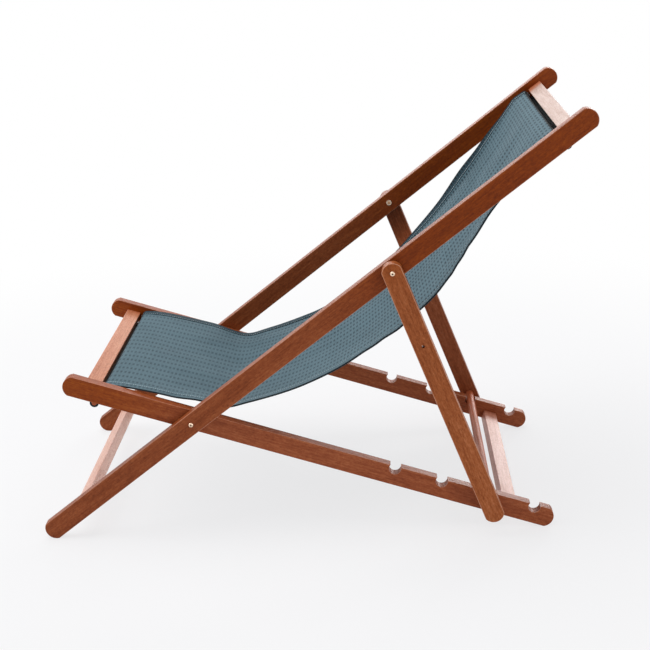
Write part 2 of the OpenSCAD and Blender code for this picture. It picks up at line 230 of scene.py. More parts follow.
def wood(name, colours, turn, shift, gloss=0.1, streak=1.0, rail_reflection=None, darkening_run=None):
    """Hardwood with its grain along the piece. colours are its dark, middle and light streaks.
    turn lays the grain, and shift gives each pair of rails its own boards.
    The colour given for the right end is a painted reflection of the rail that the piece meets there.
    Two places along the grain may be given. The colour is darker and redder from the first to the
    second."""
    dark, middle, light = [linear(*colour) for colour in colours]
    material, tree = new_tree(name)
    place = object_place(tree)
    grain = put(tree, "ShaderNodeMapping", {"Vector": place, "Rotation": turn, "Location": shift}).outputs[0]
    figure = noise(tree, stretched(tree, grain, *FIGURE_SCALES), 1, 3, 0.5, 0.3)
    streaks = noise(tree, stretched(tree, grain, *STREAK_SCALES), 1, 3, 0.6)
    mottle = noise(tree, stretched(tree, grain, *MOTTLE_SCALES), 1, 4, 0.7)
    pores = noise(tree, stretched(tree, grain, *PORE_SCALES), 1, 2, 0.5)

    streak_tone = calc(tree, "MULTIPLY", streaks, STREAK_SHARE * streak)
    tone = calc(tree, "MULTIPLY_ADD", figure, FIGURE_SHARE, streak_tone)
    tone = calc(tree, "MULTIPLY_ADD", mottle, MOTTLE_SHARE, tone)
    ramp = put(tree, "ShaderNodeValToRGB", {"Fac": tone})
    stops = ramp.color_ramp.elements
    stops[0].position = DARK_STOP
    stops[0].color = dark
    stops[1].position = LIGHT_STOP
    stops[1].color = light
    stops.new(MIDDLE_STOP).color = middle
    pore = fade(tree, pores, 0.57, 0.68)
    colour = mix(tree, calc(tree, "MULTIPLY", pore, PORE_COVER), ramp.outputs[0], scaled(dark, PORE_DARK))

    if darkening_run:
        border = calc(tree, "MULTIPLY_ADD", figure, DARKENING_WANDER, axis_of(tree, grain, 0))
        darkened = mix(tree, 1.0, colour, DARKENING, "MULTIPLY")
        colour = mix(tree, fade(tree, border, *darkening_run), colour, darkened)
    # Wear and painted highlight: the middle of each rounded arris is paler and pinker
    rubbed_and_lit = calc(tree, "MULTIPLY", painted(tree, "wear_and_highlight"), fade(tree, mottle, 0.3, 0.7, 0.58, 0.92))
    rubbed_and_lit_colour = [min(1.0, c * gain + add) for c, (gain, add) in zip(light, RUBBED_AND_LIT)]
    colour = mix(tree, rubbed_and_lit, colour, (*rubbed_and_lit_colour, 1))
    # Painted reflection of the rail on the piece's right end
    if rail_reflection:
        reflection_reach = calc(tree, "MULTIPLY_ADD", figure, RAIL_REFLECTION_WANDER, axis_of(tree, place, 1))
        colour = mix(tree, fade(tree, reflection_reach, *RAIL_REFLECTION_PLACES, 0, 0.85), colour, rail_reflection)

    height = calc(tree, "MULTIPLY_ADD", pore, -0.8, calc(tree, "MULTIPLY", streaks, 0.5))
    principled(
        tree, Base_Color=colour, Roughness=fade(tree, tone, 0.3, 0.7, 0.46, 0.34),
        Normal=bumped(tree, height, 0.5, 0.15), Specular_IOR_Level=gloss)
    return material


# Brass and steel
# Painted shade: the dark brown laid down in the bolts' sockets
SOCKET_SHADE_COLOUR = linear(66, 34, 20)
SOCKET_SHADE_COVER = 0.9


def metal(name, colour, dull_colour, roughness):
    """Turned metal with fine tool marks, duller in patches. A point attribute is 1 down in a socket, where
    the colour is painted dark brown and less metallic, as painted shade.
    """
    material, tree = new_tree(name)
    place = object_place(tree)
    marks = noise(tree, stretched(tree, place, 900, 9000), 1, 2)
    patches = noise(tree, place, 420, 3)
    tint = mix(tree, fade(tree, patches, 0.35, 0.7), colour, dull_colour)
    socket_shade = painted(tree, "socket_shade")
    tint = mix(tree, calc(tree, "MULTIPLY", socket_shade, SOCKET_SHADE_COVER), tint, SOCKET_SHADE_COLOUR)
    principled(
        tree, Base_Color=tint, Metallic=fade(tree, socket_shade, 0, 1, 1.0, 0.3),
        Roughness=fade(tree, patches, 0.3, 0.7, roughness, roughness + 0.14),
        Normal=bumped(tree, marks, 0.25, 0.02))
    return material


# Woven cloth and sewing thread. Pitches are in millimetres.
THREAD_PITCH = 1.3
DASH_PITCH_ACROSS = 23
DASH_PITCH_ALONG = 8.1
# Where along the cloth, from seat to back, the dashes deepen, and where the ground is painted lighter as
# painted light
DASH_DEEPENS = (0.3, 0.7)
SEAT_DASH = 0.62
BACK_DASH = 0.82
PAINTED_LIGHT_PLACES = (0.3, 0.62)
PAINTED_LIGHT_GAIN = 1.13
# Painted shade: the near black that the cloth takes where it is down in a slot, and how much of it covers the
# cloth there
SLOT_SHADE = linear(6, 8, 10)
SLOT_SHADE_COVER = 0.98


def woven(name, ground, deep, dash=1.0):
    """Plain woven cloth with rows of small darker dashes. It follows the cloth's own map, in metres.
    Its back part's ground is painted a little lighter, as painted light. A point attribute is 1 where the
    cloth is down between a slat and its bar, and there the colour is painted near black, as painted shade."""
    material, tree = new_tree(name)
    cut = put(tree, "ShaderNodeUVMap", uv_map="cut").outputs[0]
    across, along = axis_of(tree, cut, 0), axis_of(tree, cut, 1)

    def thread(value):
        wave = calc(tree, "SINE", calc(tree, "MULTIPLY", value, 2 * math.pi / (THREAD_PITCH * MM)))
        return calc(tree, "MULTIPLY_ADD", wave, 0.5, 0.5)

    def cell(value, pitch):
        """How far the value is from the middle of its cell, in pitches."""
        part = calc(tree, "FRACT", calc(tree, "DIVIDE", value, pitch * MM))
        return calc(tree, "ABSOLUTE", calc(tree, "SUBTRACT", part, 0.5))

    weave = calc(tree, "MULTIPLY_ADD", calc(tree, "MULTIPLY", thread(across), thread(along)), 0.6, 0.4)
    dash_across = fade(tree, cell(across, DASH_PITCH_ACROSS), 0.14, 0.28, 1, 0)
    dash_along = fade(tree, cell(along, DASH_PITCH_ALONG), 0.18, 0.34, 1, 0)
    dashes = calc(tree, "MULTIPLY", dash_across, dash_along)
    drawn_out = put(tree, "ShaderNodeMapping", {"Vector": cut, "Scale": (30, 260, 1)}).outputs[0]
    slubs = noise(tree, drawn_out, 1, 3, 0.6)
    cloudy = noise(tree, cut, 9, 3, 0.5)

    dash_depth = fade(tree, along, *DASH_DEEPENS, SEAT_DASH * dash, BACK_DASH * dash)
    shade = calc(tree, "MULTIPLY", dashes, dash_depth)
    shade = calc(tree, "ADD", shade, fade(tree, slubs, 0.35, 0.75, 0, 0.22))
    shade = calc(tree, "ADD", shade, fade(tree, cloudy, 0.3, 0.7, 0, 0.16))
    shade = calc(tree, "ADD", shade, calc(tree, "MULTIPLY", weave, -0.12))
    # Painted light: the back part's ground is lighter
    painted_light_ground = mix(tree, fade(tree, along, *PAINTED_LIGHT_PLACES), ground, scaled(ground, PAINTED_LIGHT_GAIN))
    colour = mix(tree, put(tree, "ShaderNodeClamp", {0: shade}).outputs[0], painted_light_ground, deep)
    # Painted shade where the cloth is down in a slot
    colour = mix(tree, calc(tree, "MULTIPLY", painted(tree, "painted_slot_shade"), SLOT_SHADE_COVER), colour, SLOT_SHADE)

    height = calc(tree, "MULTIPLY_ADD", dashes, -0.7, weave)
    principled(
        tree, Base_Color=colour, Roughness=0.82, Normal=bumped(tree, height, 0.55, 0.25),
        Sheen_Weight=0.05, Sheen_Roughness=0.5, Specular_IOR_Level=0.15)
    return material


def spun(name, light, dark):
    """Twisted sewing thread."""
    material, tree = new_tree(name)
    strands = noise(tree, stretched(tree, object_place(tree), 500, 2600), 1, 2)
    colour = mix(tree, fade(tree, strands, 0.35, 0.65), light, dark)
    principled(
        tree, Base_Color=colour, Roughness=0.7, Normal=bumped(tree, strands, 0.5, 0.1), Sheen_Weight=0.2)
    return material


# The woods' colours: dark, middle and light streaks
BACK_COLOURS = ((112, 50, 20), (141, 71, 36), (166, 94, 54))
RAIL_COLOURS = ((118, 52, 24), (152, 79, 45), (180, 106, 66))
LEFT_STRUT_COLOURS = ((128, 63, 28), (162, 90, 50), (190, 118, 76))
RIGHT_STRUT_COLOURS = ((112, 52, 25), (141, 75, 44), (166, 98, 67))
# Painted sheen: the slats and stretchers are the rails' wood, painted paler and pinker for the sheen on their
# upper faces
FRONT_SLAT_SHEEN_COLOURS = ((164, 98, 70), (188, 122, 92), (208, 148, 118))
FOOT_SHEEN_COLOURS = ((206, 150, 130), (226, 176, 158), (238, 198, 182))
HEAD_SLAT_SHEEN_COLOURS = ((156, 120, 104), (176, 143, 129), (193, 166, 154))
REAR_SHEEN_COLOURS = ((178, 112, 90), (200, 134, 112), (216, 156, 134))
DOWEL_COLOURS = ((152, 74, 42), (182, 94, 58), (206, 124, 86))
# Painted reflection: the rail's colour, laid on the right ends of the slats and the rear stretcher
RAIL_REFLECTION = linear(176, 92, 48)

# How the grain lies, and which boards the struts are cut from
ALONG_BACK = (0, BACK_TILT, 0)
ALONG_SEAT = (0, SEAT_TILT, 0)
ALONG_PROP = (0, PROP_TILT, 0)
ACROSS = (0, 0, math.radians(-90))
STRUT_BOARD = (5.3, 0.9, 2.2)

back_rail_wood = wood(
    "back_rail_wood", BACK_COLOURS, ALONG_BACK, (0, 0, 0), gloss=0.14, darkening_run=(0.3, 0.6))
seat_rail_wood = wood(
    "seat_rail_wood", RAIL_COLOURS, ALONG_SEAT, (3.1, 1.7, 0.4), gloss=0.16, darkening_run=(2.95, 2.68))
strut_woods = {
    "left": wood("strut_wood", LEFT_STRUT_COLOURS, ALONG_PROP, STRUT_BOARD, darkening_run=(4.97, 4.78)),
    "right": wood("right_strut_wood", RIGHT_STRUT_COLOURS, ALONG_PROP, STRUT_BOARD),
}
bar_wood = wood("bar_wood", RAIL_COLOURS, ACROSS, (1.3, 4.1, 0.8))
front_slat_wood = wood(
    "front_slat_wood", FRONT_SLAT_SHEEN_COLOURS, ACROSS, (2.2, 0.6, 3.7), streak=1.2, rail_reflection=RAIL_REFLECTION)
foot_wood = wood("foot_wood", FOOT_SHEEN_COLOURS, ACROSS, (3.9, 1.1, 2.8), gloss=0.2, streak=1.2)
head_slat_wood = wood(
    "head_slat_wood", HEAD_SLAT_SHEEN_COLOURS, ACROSS, (4.4, 2.5, 1.9), gloss=0.15, streak=1.2, rail_reflection=RAIL_REFLECTION)
rear_wood = wood(
    "rear_wood", REAR_SHEEN_COLOURS, ACROSS, (0.9, 5.2, 3.3), gloss=0.4, streak=1.2, rail_reflection=RAIL_REFLECTION)
dowel_wood = wood("dowel_wood", DOWEL_COLOURS, ACROSS, (0.7, 3.3, 5.1), gloss=0.12)
brass = metal("brass", linear(246, 222, 198), linear(214, 184, 156), 0.22)
steel = metal("steel", linear(176, 166, 152), linear(130, 122, 112), 0.32)
sling_weave = woven("sling_weave", linear(84, 108, 118), linear(32, 50, 59))
near_hem_weave = woven("near_hem_weave", linear(84, 108, 118), linear(38, 56, 65), dash=0.8)
# Painted shade: the right hem is a darker copy of the same cloth, for the shade on its curled-up band
far_hem_shaded_weave = woven("far_hem_shaded_weave", linear(44, 66, 76), linear(18, 30, 38), dash=0.9)
edge_weave = woven("edge_weave", linear(30, 38, 43), linear(16, 22, 26), dash=0.0)
seam_thread = spun("seam_thread", linear(206, 220, 224), linear(158, 176, 182))


# Mesh helpers
def make_object(name, bm, material):
    """The finished mesh as an object at the origin, with its material and slot."""
    mesh = bpy.data.meshes.new(name)
    bm.to_mesh(mesh)
    bm.free()
    mesh.materials.append(material)
    piece = bpy.data.objects.new(name, mesh)
    bpy.context.scene.collection.objects.link(piece)
    return piece


def merged_copy(node):
    """A CAD node's mesh with its points joined and its flat faces whole."""
    bm = bmesh.new()
    bm.from_mesh(nodes[node].data)
    bmesh.ops.remove_doubles(bm, verts=bm.verts, dist=0.002 * MM)
    bmesh.ops.dissolve_limit(bm, angle_limit=math.radians(0.5), verts=bm.verts, edges=bm.edges)
    return bm


def shade_smooth(bm, sharp_from):
    for face in bm.faces:
        face.smooth = True
    for edge in bm.edges:
        edge.smooth = len(edge.link_faces) == 2 and edge.calc_face_angle() < math.radians(sharp_from)


def sharp_edges(bm, angle=30):
    return [e for e in bm.edges if len(e.link_faces) == 2 and e.calc_face_angle() > math.radians(angle)]


def reach_across(edge):
    """How far the edge runs across the chair."""
    return abs(edge.verts[0].co.y - edge.verts[1].co.y)


def ease_arrises(bm, edges, width, segments=3):
    """Rounds the edges over by a width in millimetres, and marks the middle of each rounding for wear and a
    painted highlight.
    """
    wear_and_highlight = bm.verts.layers.float.new("wear_and_highlight")
    made = bmesh.ops.bevel(
        bm, geom=edges, offset=width * MM, offset_type="OFFSET", segments=segments,
        profile=0.5, affect="EDGES", material=-1, clamp_overlap=True)
    rounded = set(made["faces"])
    for vert in made["verts"]:
        if all(face in rounded for face in vert.link_faces):
            vert[wear_and_highlight] = 1.0


def dress(node, suffix, bm, material, body, sharp_from=40):
    """The eased copy of a CAD node takes its place."""
    shade_smooth(bm, sharp_from)
    piece = make_object(node + suffix, bm, material)
    modifier = piece.modifiers.new("flat_faces", "WEIGHTED_NORMAL")
    modifier.keep_sharp = True
    modifier.weight = 90
    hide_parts(node)
    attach(piece, body)


# Rails and struts: boards with a rounded end, holes, catches and mortises
RAIL_EASE = 1.4
# How near a face, in millimetres, a point counts as on it
ON_FACE = 0.02
# How far each board's outer and inner faces are from the middle plane
BACK_FACES = (0.2725, 0.2525)
SEAT_FACES = (0.250, 0.230)
STRUT_FACES = (0.295, 0.275)
# Places on a board's faces whose edges stay crisp, each with its reach in millimetres
BACK_HOLES = {
    "frame pivot": (on_back_line(0, 0), 6),
    "prop pivot": (on_back_line(497, 0), 6),
    "head slat": (on_back_line(901.5, -4), 17),
    "head bar": (on_back_line(862, -4), 17),
    "foot stretcher": (on_back_line(-299, -4), 17),
}
SEAT_HOLES = {
    "frame pivot": (on_seat_line(0, 0), 6),
    "front slat": (on_seat_line(-208, -6), 15.5),
    "front bar": (on_seat_line(-168.5, -6), 15.5),
    "rear stretcher": (on_seat_line(653, -10), 15.5),
}
STRUT_HOLES = {
    "prop pivot": (on_prop_line(0, 0), 5),
    "spare hole": (on_prop_line(153, 0), 4.5),
    "prop dowel": (on_prop_line(509, 0), 8.5),
}


def rail(node, faces, holes, material, body):
    """The board's long arrises and its catches are eased. Its mortises and bolt holes stay crisp."""
    bm = merged_copy(node)

    def on_face(vert):
        return any(abs(abs(vert.co.y) - y) < ON_FACE * MM for y in faces)

    def in_hole(edge):
        middle = (edge.verts[0].co + edge.verts[1].co) / 2
        flat = Vector((middle.x, middle.z))
        return any((flat - centre).length < reach * MM for centre, reach in holes.values())

    edges = [
        e for e in sharp_edges(bm)
        if all(on_face(v) for v in e.verts) and reach_across(e) < ON_FACE * MM and not in_hole(e)
    ]
    ease_arrises(bm, edges, RAIL_EASE)
    dress(node, "_board", bm, material, body)


for side in SIDES:
    rail("back_rail_" + side, BACK_FACES, BACK_HOLES, back_rail_wood, "back_frame")
    rail("seat_rail_" + side, SEAT_FACES, SEAT_HOLES, seat_rail_wood, "seat_frame")
    rail("prop_strut_" + side, STRUT_FACES, STRUT_HOLES, strut_woods[side], "prop")


# Slats, bars and stretchers: the slats' and stretchers' four long arrises are eased, and the tenons stay
# square
SLAT_EASE = 1.0
STRETCHER_EASE = 1.2
# How near a shoulder, in millimetres, an edge's end counts as at it
AT_SHOULDER = 0.05


def cross_piece(node, shoulder, material, body, width=0):
    """shoulder is how far from the middle plane the piece meets its rails. The bars have no width to
    ease, because the model has their rounding."""
    bm = merged_copy(node)
    if width:
        nearly_whole = 1.9 * (shoulder - MM)
        edges = [
            e for e in sharp_edges(bm)
            if reach_across(e) > nearly_whole and abs(abs(e.verts[0].co.y) - shoulder) < AT_SHOULDER * MM
        ]
        ease_arrises(bm, edges, width)
    dress(node, "_wood", bm, material, body)


cross_piece("head_slat", BACK_FACES[1], head_slat_wood, "back_frame", SLAT_EASE)
cross_piece("head_bar", BACK_FACES[1], bar_wood, "back_frame")
cross_piece("foot_stretcher", BACK_FACES[1], foot_wood, "back_frame", STRETCHER_EASE)
cross_piece("seat_front_slat", SEAT_FACES[1], front_slat_wood, "seat_frame", SLAT_EASE)
cross_piece("seat_front_bar", SEAT_FACES[1], bar_wood, "seat_frame")
cross_piece("seat_rear_stretcher", SEAT_FACES[1], rear_wood, "seat_frame", STRETCHER_EASE)


# Turned dowels, with eased ends
def dowel(node, body, width):
    bm = merged_copy(node)
    ease_arrises(bm, sharp_edges(bm, 60), width, 2)
    dress(node, "_turned", bm, dowel_wood, body, sharp_from=35)


dowel("prop_dowel", "prop", 0.5)
dowel("sling_head_dowel", "back_frame", 0.6)
dowel("sling_front_dowel", "seat_frame", 0.6)


# Bolts: a domed head with a hexagonal socket, and a plain shank. Sizes are in millimetres.
SOCKET_R = 1.9
SOCKET_FLOOR = 1.0
SHANK_R = 3.0
SHANK_LENGTH = 30
BOLT_TURN_STEPS = 24
# The head's radius and its height above the wood, from the middle of the socket's floor to the wood
HEAD_PROFILE = [
    (0.0, SOCKET_FLOOR), (SOCKET_R, SOCKET_FLOOR), (SOCKET_R, 2.75), (2.6, 2.9), (3.5, 2.55), (4.3, 1.85),
    (4.85, 0.9), (5.0, 0.25), (4.9, 0.0),
]


def bolt(bm, centre, side, head_face):
    """The half profile is turned round the pivot's line."""
    tip = head_face - SHANK_LENGTH * MM
    profile = [(r * MM, head_face + rise * MM) for r, rise in HEAD_PROFILE]
    profile += [(SHANK_R * MM, head_face), (SHANK_R * MM, tip), (0.0, tip)]
    verts = [bm.verts.new((centre[0] + r, side * y, centre[1])) for r, y in profile]
    edges = [bm.edges.new(pair) for pair in zip(verts, verts[1:])]
    bmesh.ops.spin(
        bm, geom=verts + edges, cent=(centre[0], 0, centre[1]), axis=(0, 1, 0), dvec=(0, 0, 0),
        angle=2 * math.pi, steps=BOLT_TURN_STEPS, use_merge=True)


def make_bolts(node, name, head_face):
    """Both bolts of a pivot. The round sockets are drawn in to hexagons, and their floors carry painted
    shade.
    """
    lowest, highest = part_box(node)
    centre = ((lowest.x + highest.x) / 2, (lowest.z + highest.z) / 2)
    bm = bmesh.new()
    for side in (-1, 1):
        bolt(bm, centre, side, head_face)
    bmesh.ops.remove_doubles(bm, verts=bm.verts, dist=0.01 * MM)
    socket_shade = bm.verts.layers.float.new("socket_shade")
    socket_r = SOCKET_R * MM
    socket_shade_top = head_face + 2 * SOCKET_FLOOR * MM
    near = 0.05 * MM
    flat = math.pi / 3
    for vert in bm.verts:
        out = Vector((vert.co.x - centre[0], vert.co.z - centre[1]))
        # Painted shade on the socket's floor and the foot of its walls
        if out.length < socket_r + near and head_face < abs(vert.co.y) < socket_shade_top:
            vert[socket_shade] = 1.0
        if abs(out.length - socket_r) < near and abs(vert.co.y) > head_face:
            part = math.atan2(out.y, out.x) % flat - flat / 2
            out *= math.cos(flat / 2) / math.cos(part)
            vert.co.x = centre[0] + out.x
            vert.co.z = centre[1] + out.y
    bmesh.ops.recalc_face_normals(bm, faces=bm.faces)
    shade_smooth(bm, 40)
    piece = make_object(name, bm, brass)
    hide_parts(node)
    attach(piece, "back_frame")


make_bolts("frame_pivot_bolts", "frame_pivot_domed_bolts", BACK_FACES[0])
make_bolts("prop_pivot_bolts", "prop_pivot_domed_bolts", STRUT_FACES[0])

for kind, metal_of_kind in (("nuts", brass), ("washers", steel)):
    for node in ("frame_pivot_" + kind, "prop_pivot_" + kind):
        for material_slot in nodes[node].material_slots:
            material_slot.material = metal_of_kind


# The sling's way in the side view, from the front dowel's hem to the head dowel's hem.
# s is along a frame's middle line from its pivot, and n is above it, in millimetres.
CLOTH_HALF = 0.6
SEAT_GAP = 0.3
HEM_PATH_R = 5.2 + CLOTH_HALF
HEM_TURN = math.radians(320)
FRONT_HEM = (-195.75, -30.725)
HEAD_HEM = (881.75, -18.725)
FRONT_LINE_S = -193 + 9.5 - SEAT_GAP - CLOTH_HALF
HEAD_LINE_S = 877 + SEAT_GAP + CLOTH_HALF
FRONT_N = 4
HEAD_N = 6
UNDER_BAR = 20.3
TURN_R = 8
BAR_WIDTH = 30
BAR_ROUND = 3
BAR_TURN_R = BAR_ROUND + SEAT_GAP + CLOTH_HALF
FRONT_RISE = math.radians(20)
HEAD_RISE = math.radians(16)
CROSSING = (38, 28.5)
DIP = (103, -51)
SAG_PLACE = (322, -143)
# How far each curve is pulled along its slope at either end
FRONT_PULL = 30
CROSSING_PULL = (110, 2)
OVER_PULL = (26, -1)
DIP_PULL = (26, -11)
HEAD_PULL = 380
HEAD_PULL_RISE = HEAD_RISE + math.radians(3)
HEM_STEPS = 40
TURN_STEPS = 8
SEAT_STEPS = 30
CROSSING_STEPS = 16
BACK_STEPS = 84


def sn(*values):
    """A place, or a way from one to another, by its s and n."""
    return Vector(values)


def arc(centre, radius, start, end, steps):
    angles = [start + (end - start) * i / steps for i in range(steps + 1)]
    return [sn(centre[0] + radius * math.cos(a), centre[1] + radius * math.sin(a)) for a in angles]


def slope(angle):
    return sn(math.cos(angle), math.sin(angle))


def bezier(a, b, c, d, steps):
    """Points after the first one."""
    points = interpolate_bezier(*[p.to_3d() for p in (a, b, c, d)], steps + 1)
    return [p.to_2d() for p in points[1:]]


def hem_loop(centre, leave, side):
    """Round the dowel, from close to the sheet to where the sheet leaves it towards the point named."""
    away = sn(*leave) - sn(*centre)
    lean = math.acos(HEM_PATH_R / away.length)
    start = math.atan2(away.y, away.x) + side * lean
    return arc(centre, HEM_PATH_R, start + side * HEM_TURN, start, HEM_STEPS)


def sling_path():
    """Up from the front hem and round the front bar, over the seat, down into the dip where the frames
    cross, up the back, over the head bar and down to the head hem."""
    front_under = sn(FRONT_LINE_S, FRONT_N - UNDER_BAR)
    head_under = sn(HEAD_LINE_S, HEAD_N - UNDER_BAR)
    front_turn = arc(
        (FRONT_LINE_S + TURN_R, FRONT_N), TURN_R, math.pi, math.pi / 2 + FRONT_RISE, TURN_STEPS)
    high_edge = sn(HEAD_LINE_S - BAR_TURN_R, HEAD_N - BAR_ROUND)
    low_edge = high_edge - sn(BAR_WIDTH - 2 * BAR_ROUND, 0)
    head_turn = arc(low_edge, BAR_TURN_R, math.pi / 2 + HEAD_RISE, math.pi / 2, 3)
    head_turn += [head_turn[-1].lerp(high_edge + sn(0, BAR_TURN_R), i / 4) for i in range(1, 4)]
    head_turn += arc(high_edge, BAR_TURN_R, math.pi / 2, 0, TURN_STEPS)
    front_start, head_start = front_turn[-1], head_turn[0]
    crossing = on_seat_line(*CROSSING) / MM
    dip = on_back_line(*DIP) / MM

    seat = hem_loop(FRONT_HEM, front_under, 1) + [front_under] + front_turn
    seat += bezier(
        front_start, front_start + FRONT_PULL * slope(FRONT_RISE),
        sn(*CROSSING) - sn(*CROSSING_PULL), sn(*CROSSING), SEAT_STEPS)
    middle = bezier(
        crossing, crossing + turned(OVER_PULL, SEAT_TILT), dip - turned(DIP_PULL, BACK_TILT), dip,
        CROSSING_STEPS)
    back = bezier(
        sn(*DIP), sn(*SAG_PLACE), head_start - HEAD_PULL * slope(HEAD_PULL_RISE), head_start, BACK_STEPS)
    back += head_turn[1:] + [head_under] + hem_loop(HEAD_HEM, head_under, -1)[::-1]
    return [on_seat_line(*p) for p in seat] + [p * MM for p in middle] + [on_back_line(*p) for p in back]


way = sling_path()
lengths = [0.0]
for here, there in zip(way, way[1:]):
    lengths.append(lengths[-1] + (there - here).length)
SLING_LENGTH = lengths[-1]
FRONT_X = on_seat_line(FRONT_LINE_S, FRONT_N).x
HEAD_X = on_back_line(HEAD_LINE_S, HEAD_N).x
FRONT_HALF_WIDTH = 0.228
HEAD_HALF_WIDTH = 0.2505


def half_width(x):
    share = min(max((x - FRONT_X) / (HEAD_X - FRONT_X), 0), 1)
    return FRONT_HALF_WIDTH + (HEAD_HALF_WIDTH - FRONT_HALF_WIDTH) * share


def between(table, at):
    """A smooth line through a table of (place, value)."""
    if at <= table[0][0]:
        return table[0][1]
    for (a, low), (b, high) in zip(table, table[1:]):
        if at <= b:
            t = (at - a) / (b - a)
            t = t * t * (3 - 2 * t)
            return low + (high - low) * t
    return table[-1][1]


# How the cloth's sides stand off its middle line, in millimetres, by the share of its length
NEAR_EDGE = [
    (0.09, 1), (0.17, 2), (0.22, 9), (0.3, 8), (0.4, 6.5), (0.5, 4.5), (0.54, 1), (0.58, -5), (0.655, -8),
    (0.69, -5), (0.72, 0), (0.75, 5), (0.81, 10), (0.88, 6), (0.94, 0.5),
]
FAR_EDGE = [
    (0.09, 0), (0.19, 0), (0.245, -6), (0.29, -5), (0.36, -5), (0.4, -6), (0.5, 1), (0.62, 4.3), (0.7, 1.2),
    (0.775, -0.4), (0.83, 0), (0.88, 3.2), (0.93, 3.2), (0.97, 1),
]
# How far the right hem curls up beside the sitter's back
CURL = [(0.58, 0), (0.7, 5), (0.775, 9.5), (0.83, 6.5), (0.9, 0)]
# Where the cloth hangs free of the bars, and where its back part is
FREE = [(0.08, 0), (0.16, 1), (0.86, 1), (0.95, 0)]
UPPER = [(0.45, 0), (0.7, 1)]
STAND_HALF = 0.24
LIFT_ZONE = 0.1
CURL_ZONE = 0.026
MIDDLE_SAG = 3.0
FINE_RIPPLE = 0.5
SLANTED_RIPPLE = 0.9
BACK_RIPPLE = 1.3


def stand_off(across, share):
    """How far the cloth is off its path, along its own normal, at a place across it in metres."""
    free = between(FREE, share)
    side = NEAR_EDGE if across < 0 else FAR_EDGE
    edge = between([(STAND_HALF - LIFT_ZONE, 0), (STAND_HALF, 1)], abs(across))
    curl = max(0.0, across - STAND_HALF + CURL_ZONE) / CURL_ZONE * between(CURL, share)
    sag = -MIDDLE_SAG * (1 - min(1.0, abs(across) / STAND_HALF) ** 2) * free
    along = share * SLING_LENGTH
    upper = between(UPPER, share)
    ripple = FINE_RIPPLE * math.sin(across * 95 + 2 * math.sin(along * 9)) * free
    ripple += SLANTED_RIPPLE * math.sin(across * 31 + along * 11 + 0.7) * free
    ripple += BACK_RIPPLE * math.sin(across * 52 + 1.5 * math.sin(along * 5) + 1.1) * free * upper
    return (between(side, share) * edge + curl + sag + ripple) * MM


# How much painted shade a row takes in a slot, by how many rows it is from the end of a hem's loop
FRONT_SLOT_ROWS = [(0, 1), (3, 1), (5, 0)]
HEAD_SLOT_ROWS = [(0, 1), (6, 1), (8.5, 0)]
# The same round a dowel, by how far up the loop's side the row is, from -1 to 1
LOOP_SIDES = [(-0.6, 0), (0.2, 1)]


def loop_shade_amount(row, dowel_centre, tilt):
    """The side of a hem's loop that faces up into the slot takes painted shade."""
    up = (way[row] - dowel_centre).dot(turned((0, 1), tilt)) / (HEM_PATH_R * MM)
    return between(LOOP_SIDES, up)


# How much painted shade each row of the cloth takes
def slot_shade_amount(row):
    from_front = row - HEM_STEPS - 1
    from_head = len(way) - 1 - row - HEM_STEPS - 1
    if from_front < 0:
        return loop_shade_amount(row, on_seat_line(*FRONT_HEM), SEAT_TILT)
    if from_head < 0:
        return loop_shade_amount(row, on_back_line(*HEAD_HEM), BACK_TILT)
    return max(between(FRONT_SLOT_ROWS, from_front), between(HEAD_SLOT_ROWS, from_head))


def cloth_frame(row):
    """The path's point and normal at a row."""
    here = way[row]
    heading = (way[min(row + 1, len(way) - 1)] - way[max(row - 1, 0)]).normalized()
    return here, Vector((-heading.y, heading.x))


def cloth_point(across, row, above=0.0):
    here, normal = cloth_frame(row)
    share = lengths[row] / SLING_LENGTH
    place = here + normal * (stand_off(across, share) + above)
    return Vector((place.x, across, place.y))


# The sling's sheet and its hems: strips along the whole way, at places across it in millimetres from its side
SHEET_EDGE_STEPS = [0, 2, 5, 9, 13, 17, 22, 28, 34, 42]
SHEET_MIDDLE_STEPS = 22
EDGE_ZONE = 0.05
SHEET_WALL = 1.1
HEM_WIDTH = 20
HEM_STEPS_ACROSS = (0.4, 4, 8, 12, 16, HEM_WIDTH)
HEM_WALL = 1.2
HEM_ABOVE = 1.25


def cloth_strip(name, spans, above, thickness, material):
    """A grid laid along the whole way. spans gives the places across, as functions of the half width."""
    bm = bmesh.new()
    cut = bm.loops.layers.uv.new("cut")
    painted_slot_shade = bm.verts.layers.float.new("painted_slot_shade")
    rows = len(way)
    bmesh.ops.create_grid(bm, x_segments=len(spans) - 1, y_segments=rows - 1, size=0.5)
    cut_place = {}
    for vert in bm.verts:
        column = round((vert.co.x + 0.5) * (len(spans) - 1))
        row = round((vert.co.y + 0.5) * (rows - 1))
        across = spans[column](half_width(way[row].x))
        cut_place[vert] = (across, lengths[row])
        vert.co = cloth_point(across, row, above * MM)
        vert[painted_slot_shade] = slot_shade_amount(row)
    for face in bm.faces:
        face.smooth = True
        for loop in face.loops:
            loop[cut].uv = cut_place[loop.vert]
    piece = make_object(name, bm, material)
    wall = piece.modifiers.new("cloth_thickness", "SOLIDIFY")
    wall.thickness = thickness * MM
    wall.offset = 0
    wall.use_even_offset = False
    return piece


def inward(side, distance):
    return lambda half: side * (half - distance * MM)


def shared(part):
    return lambda half: part * (half - EDGE_ZONE)


middle_parts = [-1 + 2 * i / SHEET_MIDDLE_STEPS for i in range(SHEET_MIDDLE_STEPS + 1)]
sheet_spans = [inward(-1, d) for d in SHEET_EDGE_STEPS]
sheet_spans += [shared(part) for part in middle_parts]
sheet_spans += [inward(1, d) for d in reversed(SHEET_EDGE_STEPS)]
cloth = cloth_strip("sling_cloth", sheet_spans, 0.0, SHEET_WALL, sling_weave)
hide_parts("sling")

